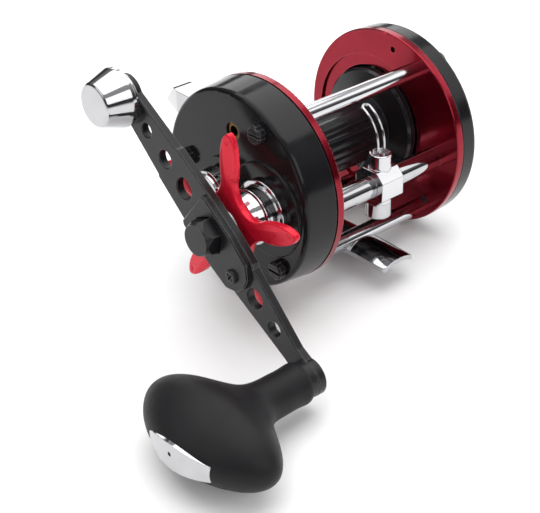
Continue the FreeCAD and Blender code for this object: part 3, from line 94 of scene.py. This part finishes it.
def make_floor():
    """A large pale sheet that touches the knob and the palm-side plate's rim."""
    knob_low, knob_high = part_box("knob_grip")
    plate_low, plate_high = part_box("palm_side_plate")
    knob_x = (knob_low.x + knob_high.x) / 2 + KNOB_TOUCH_OFFSET
    slope = math.atan2(plate_low.z - knob_low.z, plate_high.x - knob_x)
    mesh = bpy.data.meshes.new("floor")
    edit = bmesh.new()
    bmesh.ops.create_grid(edit, x_segments=FLOOR_GRID, y_segments=FLOOR_GRID,
                          size=FLOOR_HALF_SIZE)
    edit.to_mesh(mesh)
    edit.free()
    floor = bpy.data.objects.new("floor", mesh)
    floor.rotation_euler = (0.0, -slope, 0.0)
    floor.location = (knob_x, 0.0, knob_low.z - FLOOR_UNDER_KNOB)
    bpy.context.scene.collection.objects.link(floor)
    material = new_material("floor_paper")
    shader = material.node_tree.nodes["Principled BSDF"]
    shader.inputs["Roughness"].default_value = 0.85
    shader.inputs["Specular IOR Level"].default_value = 0.15
    colour_by_noise(material, shader, 60.0, (0.95, 0.95, 0.95), (0.96, 0.96, 0.96))
    mesh.materials.append(material)


def area_light(name, place, target, size, power):
    """A rectangular soft light that points at a target."""
    data = bpy.data.lights.new(name, "AREA")
    data.shape = "RECTANGLE"
    data.size, data.size_y = size
    data.energy = power
    light = bpy.data.objects.new(name, data)
    light.location = place
    light.rotation_mode = "QUATERNION"
    light.rotation_quaternion = (Vector(target) - Vector(place)).to_track_quat("-Z", "Y")
    bpy.context.scene.collection.objects.link(light)


def make_lights():
    """A studio tent: grey surround, dark bands for the chrome to reflect, and soft boxes."""
    world = bpy.data.worlds.new("studio")
    bpy.context.scene.world = world
    world.use_nodes = True
    nodes, links = world.node_tree.nodes, world.node_tree.links
    nodes.clear()
    coordinates = nodes.new("ShaderNodeTexCoord")
    split = nodes.new("ShaderNodeSeparateXYZ")
    links.new(coordinates.outputs["Generated"], split.inputs[0])
    height = nodes.new("ShaderNodeMath")
    height.operation = "MULTIPLY_ADD"
    height.inputs[1].default_value = 0.5
    height.inputs[2].default_value = 0.5
    links.new(split.outputs["Z"], height.inputs[0])
    ramp = ramp_from(world.node_tree, height.outputs[0],
                     [(position, (level,) * 3) for position, level in SKY_BANDS])
    background = nodes.new("ShaderNodeBackground")
    background.inputs["Strength"].default_value = 1.0
    links.new(ramp.outputs["Color"], background.inputs["Color"])
    output = nodes.new("ShaderNodeOutputWorld")
    links.new(background.outputs[0], output.inputs["Surface"])
    for box in SOFT_BOXES:
        area_light(*box)


# ---------------------------------------------------------------- materials

# How far an edge's eased normal leaves the face's own, as a dot product, where the painted
# edge highlight begins and where it is full.
HIGHLIGHT_BEGINS, HIGHLIGHT_IS_FULL = 0.985, 0.88
# Scale of the noise that breaks up the painted edge highlight.
HIGHLIGHT_PATCH_SCALE = 600.0
COAT_ROUGHNESS = 0.06
SHARP_ANGLE = math.radians(32.0)


def new_material(name):
    material = bpy.data.materials.new(name)
    material.use_nodes = True
    return material


def noise(material, scale, detail=4.0, stretch=None):
    """Noise in the object's own coordinates, optionally stretched along its axes."""
    nodes, links = material.node_tree.nodes, material.node_tree.links
    coordinates = nodes.new("ShaderNodeTexCoord")
    texture = nodes.new("ShaderNodeTexNoise")
    texture.inputs["Scale"].default_value = scale
    texture.inputs["Detail"].default_value = detail
    source = coordinates.outputs["Object"]
    if stretch is not None:
        mapping = nodes.new("ShaderNodeMapping")
        mapping.inputs["Scale"].default_value = stretch
        links.new(source, mapping.inputs["Vector"])
        source = mapping.outputs["Vector"]
    links.new(source, texture.inputs["Vector"])
    return texture


def ramp_from(tree, factor, stops):
    """A colour ramp through (position, colour) stops, driven by a factor socket."""
    ramp = tree.nodes.new("ShaderNodeValToRGB")
    elements = ramp.color_ramp.elements
    elements[0].position, elements[1].position = stops[0][0], stops[-1][0]
    elements[0].color = (*stops[0][1], 1)
    elements[1].color = (*stops[-1][1], 1)
    for position, colour in stops[1:-1]:
        elements.new(position).color = (*colour, 1)
    tree.links.new(factor, ramp.inputs["Fac"])
    return ramp


def colour_by_noise(material, shader, scale, dark, light, stretch=None):
    """Two close tones, mixed by noise, as the base colour."""
    texture = noise(material, scale, stretch=stretch)
    tree = material.node_tree
    ramp = ramp_from(tree, texture.outputs["Fac"], [(0.3, dark), (0.7, light)])
    tree.links.new(ramp.outputs["Color"], shader.inputs["Base Color"])


def roughness_by_noise(material, shader, scale, smooth, rough, stretch=None):
    """Uneven gloss, between two roughness values."""
    texture = noise(material, scale, 6.0, stretch)
    tree = material.node_tree
    ramp = ramp_from(tree, texture.outputs["Fac"], [(0.3, (smooth,) * 3), (0.75, (rough,) * 3)])
    tree.links.new(ramp.outputs["Color"], shader.inputs["Roughness"])


def bump_by_noise(material, shader, scale, depth, stretch=None, eased=None):
    """Fine surface texture, over a normal that is eased across sharp edges by a radius in mm."""
    nodes, links = material.node_tree.nodes, material.node_tree.links
    texture = noise(material, scale, 6.0, stretch)
    bump = nodes.new("ShaderNodeBump")
    bump.inputs["Strength"].default_value = 1.0
    bump.inputs["Distance"].default_value = depth * MM
    if eased is not None:
        bevel = nodes.new("ShaderNodeBevel")
        bevel.samples = 6
        bevel.inputs["Radius"].default_value = eased * MM
        links.new(bevel.outputs["Normal"], bump.inputs["Normal"])
    links.new(texture.outputs["Fac"], bump.inputs["Height"])
    links.new(bump.outputs["Normal"], shader.inputs["Normal"])


# Painted highlight: a lighter tone painted along every edge, in place of the light the edges
# catch.
def paint_edge_highlights(material, shader, painted_highlight, radius, amount):
    """Paint a highlight: lighten the base colour where the rounded normal leaves the face's own,
    so along edges.
    """
    nodes, links = material.node_tree.nodes, material.node_tree.links
    colour = shader.inputs["Base Color"].links[0].from_socket
    bevel = nodes.new("ShaderNodeBevel")
    bevel.samples = 4
    bevel.inputs["Radius"].default_value = radius * MM
    geometry = nodes.new("ShaderNodeNewGeometry")
    dot = nodes.new("ShaderNodeVectorMath")
    dot.operation = "DOT_PRODUCT"
    links.new(bevel.outputs["Normal"], dot.inputs[0])
    links.new(geometry.outputs["Normal"], dot.inputs[1])
    spread = nodes.new("ShaderNodeMapRange")
    spread.inputs["From Min"].default_value = HIGHLIGHT_BEGINS
    spread.inputs["From Max"].default_value = HIGHLIGHT_IS_FULL
    spread.inputs["To Max"].default_value = amount
    links.new(dot.outputs["Value"], spread.inputs["Value"])
    patchy = noise(material, HIGHLIGHT_PATCH_SCALE)
    share = nodes.new("ShaderNodeMath")
    share.operation = "MULTIPLY"
    links.new(spread.outputs["Result"], share.inputs[0])
    links.new(patchy.outputs["Fac"], share.inputs[1])
    mix = nodes.new("ShaderNodeMix")
    mix.data_type = "RGBA"
    tint = [socket for socket in mix.inputs if socket.type == "RGBA"]
    tint[1].default_value = (*painted_highlight, 1)
    links.new(share.outputs[0], mix.inputs["Factor"])
    links.new(colour, tint[0])
    result = [socket for socket in mix.outputs if socket.type == "RGBA"][0]
    links.new(result, shader.inputs["Base Color"])


def finish_material(name, dark, light, metallic, gloss, bump=(3000, 0.001), coat=0.0,
                    specular=0.5, colour_scale=150.0, stretch=None, painted_highlight=None, eased=None):
    """One procedural finish: two close tones, uneven gloss, fine texture and a painted highlight
    along edges.

    gloss is the lowest and highest roughness, bump a scale and a depth in mm, the painted
    edge highlight a colour, a radius in mm and an amount, and eased a radius in mm.
    """
    material = new_material(name)
    shader = material.node_tree.nodes["Principled BSDF"]
    shader.inputs["Metallic"].default_value = metallic
    shader.inputs["Specular IOR Level"].default_value = specular
    shader.inputs["Coat Weight"].default_value = coat
    shader.inputs["Coat Roughness"].default_value = COAT_ROUGHNESS
    colour_by_noise(material, shader, colour_scale, dark, light, stretch)
    roughness_by_noise(material, shader, colour_scale * 2, *gloss, stretch)
    bump_by_noise(material, shader, *bump, stretch, eased)
    if painted_highlight is not None:
        paint_edge_highlights(material, shader, *painted_highlight)
    return material


def grey(level):
    """A nearly neutral metal tone."""
    return (level, level, level * 1.03)


def black(level):
    """A black with the faint cool cast of the covers and the rubber."""
    return (level, level * 0.97, level * 1.12)


def make_materials():
    """The finishes, by name: dark tone, light tone, metallic, gloss, and what else differs."""
    lengthways = (0.06, 1.0, 1.0)
    rows = [
        # Where a row gives an edge colour, a radius in mm and an amount, that is a painted
        # highlight along the edges.
        ("red_anodised", (0.22, 0.002, 0.012), (0.27, 0.004, 0.018), 0.85, (0.15, 0.22),
         dict(coat=0.2, painted_highlight=((0.6, 0.2, 0.24), 0.4, 0.5))),
        ("star_red", (0.62, 0.006, 0.026), (0.68, 0.010, 0.034), 0.35, (0.26, 0.34),
         dict(bump=(900, 0.0004), specular=0.35)),
        ("black_cover", black(0.007), black(0.010), 0.0, (0.12, 0.17),
         dict(bump=(500, 0.0006), specular=0.22, painted_highlight=(grey(0.08), 0.5, 0.5), eased=0.3)),
        ("satin_black", black(0.007), black(0.011), 0.0, (0.3, 0.4),
         dict(bump=(4000, 0.002), specular=0.3, painted_highlight=(grey(0.3), 0.35, 0.8), eased=0.25)),
        ("chrome", grey(0.46), grey(0.51), 1.0, (0.05, 0.09),
         dict(bump=(900, 0.0004), eased=0.3)),
        ("satin_chrome", grey(0.56), grey(0.62), 1.0, (0.08, 0.14),
         dict(bump=(2500, 0.0006), stretch=lengthways, eased=0.3)),
        ("steel", grey(0.46), grey(0.56), 1.0, (0.26, 0.4),
         dict(bump=(3500, 0.003), stretch=(1.0, 0.15, 0.15))),
        ("spring_steel", grey(0.36), grey(0.46), 1.0, (0.25, 0.38), {}),
        ("bearing_steel", grey(0.55), grey(0.64), 1.0, (0.14, 0.24), {}),
        ("brass", (0.52, 0.33, 0.1), (0.68, 0.46, 0.17), 1.0, (0.22, 0.36),
         dict(bump=(3000, 0.002))),
        # A brass darkened as painted shade for the hollow of the oil port bush.
        ("brass_painted_shade", (0.10, 0.055, 0.018), (0.16, 0.09, 0.03), 1.0, (0.26, 0.4),
         dict(bump=(3000, 0.002))),
        ("black_spool", black(0.010), black(0.016), 0.3, (0.14, 0.22),
         dict(specular=0.45, painted_highlight=(grey(0.3), 0.3, 0.5))),
        ("fibre", (0.1, 0.075, 0.05), (0.2, 0.16, 0.11), 0.0, (0.75, 0.92),
         dict(bump=(2600, 0.02), specular=0.2, colour_scale=1600)),
        ("black_plastic", black(0.012), black(0.02), 0.0, (0.42, 0.55),
         dict(bump=(4200, 0.004), specular=0.3)),
        ("knob_rubber", black(0.007), black(0.010), 0.0, (0.44, 0.54),
         dict(bump=(5200, 0.003), specular=0.2)),
        ("magnet", grey(0.42), grey(0.52), 1.0, (0.2, 0.34), {}),
    ]
    return {name: finish_material(name, dark, light, metallic, gloss, **more)
            for name, dark, light, metallic, gloss, more in rows}


# Nodes whose finish isn't the one that their material slot in the record names.
SPECIAL_FINISH = {"star_drag": "star_red", "handle_nut": "satin_black",
                  "nut_retainer": "satin_black", "retainer_screw": "satin_black",
                  # The oil port bush takes the brass darkened as painted shade.
                  "knob_post": "satin_black", "oil_port_bush": "brass_painted_shade"}


def dress_nodes():
    """Give every CAD node its finish, and smooth shading between its real edges."""
    slots = {part["node"]: part["material_slot"] for part in frame["record"]["subparts"]}
    for name, obj in NODES.items():
        mesh = obj.data
        mesh.materials.clear()
        mesh.materials.append(MATERIALS[SPECIAL_FINISH.get(name, slots[name])])
        mesh.polygons.foreach_set("material_index", [0] * len(mesh.polygons))
        smooth_shade(mesh)


def smooth_shade(mesh):
    """Smooth shading, with an edge kept sharp where its faces turn by more than the angle.

    Only the shading flags are set, so the node's mesh stays as the CAD has it.
    """
    probe = bmesh.new()
    probe.from_mesh(mesh)
    sharp = [not edge.smooth for edge in probe.edges]
    for edge in probe.edges:
        if len(edge.link_faces) == 2:
            sharp[edge.index] = edge.calc_face_angle(0.0) >= SHARP_ANGLE
    probe.free()
    mesh.polygons.foreach_set("use_smooth", [True] * len(mesh.polygons))
    mesh.edges.foreach_set("use_edge_sharp", sharp)
    mesh.update()


# ---------------------------------------------------------------- star wheel

PADDLES, FIRST_PADDLE = 5, math.radians(92.2)
PADDLE_HALF_WIDTH = 3.9 * MM
PADDLE_NARROWING = 0.2
PADDLE_ROOT, PADDLE_BLEND = 9.0 * MM, 5.0 * MM
FRONT_CREASE, REAR_CREASE = 0.9 * MM, 0.5 * MM
STAR_VOXEL, STAR_EASING_ROUNDS = 0.3 * MM, 7


def soft_copy(node, name, voxel, rounds):
    """A new piece with the node's shape and all its edges eased."""
    piece = bpy.data.objects.new(name, NODES[node].data.copy())
    bpy.context.scene.collection.objects.link(piece)
    remesh = piece.modifiers.new("even_mesh", "REMESH")
    remesh.mode = "VOXEL"
    remesh.voxel_size = voxel
    ease = piece.modifiers.new("ease", "SMOOTH")
    ease.factor = 0.5
    ease.iterations = rounds
    graph = bpy.context.evaluated_depsgraph_get()
    mesh = bpy.data.meshes.new_from_object(piece.evaluated_get(graph))
    piece.modifiers.clear()
    piece.data = mesh
    mesh.polygons.foreach_set("use_smooth", [True] * len(mesh.polygons))
    return piece


def make_star():
    """The star wheel with rounded paddles, each creased along its length."""
    star = soft_copy("star_drag", "star_wheel", STAR_VOXEL, STAR_EASING_ROUNDS)
    low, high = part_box("star_drag")
    hub_low, hub_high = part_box("drag_sleeve")
    hub = (hub_low + hub_high) / 2
    step = 2 * math.pi / PADDLES
    for vertex in star.data.vertices:
        away = vertex.co - hub
        out = math.hypot(away.y, away.z)
        if out < PADDLE_ROOT:
            continue
        angle = math.atan2(away.z, -away.y)
        off = (angle - FIRST_PADDLE + step / 2) % step - step / 2
        across = min(1.0, abs(out * math.sin(off)) / PADDLE_HALF_WIDTH)
        reach = min(1.0, (out - PADDLE_ROOT) / PADDLE_BLEND)
        facing = (high.x - vertex.co.x) / (high.x - low.x)
        crease = FRONT_CREASE if facing > 0.5 else -REAR_CREASE
        vertex.co.x += crease * across * reach * abs(facing - 0.5)
        angle -= PADDLE_NARROWING * reach * off
        vertex.co.y = hub.y - out * math.cos(angle)
        vertex.co.z = hub.z + out * math.sin(angle)
    star.data.materials.clear()
    star.data.materials.append(MATERIALS["star_red"])
    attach(star, "star")
    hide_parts("star_drag")


make_camera()
make_floor()
make_lights()
MATERIALS = make_materials()
dress_nodes()
make_star()

bpy.context.scene.view_settings.view_transform = "Standard"
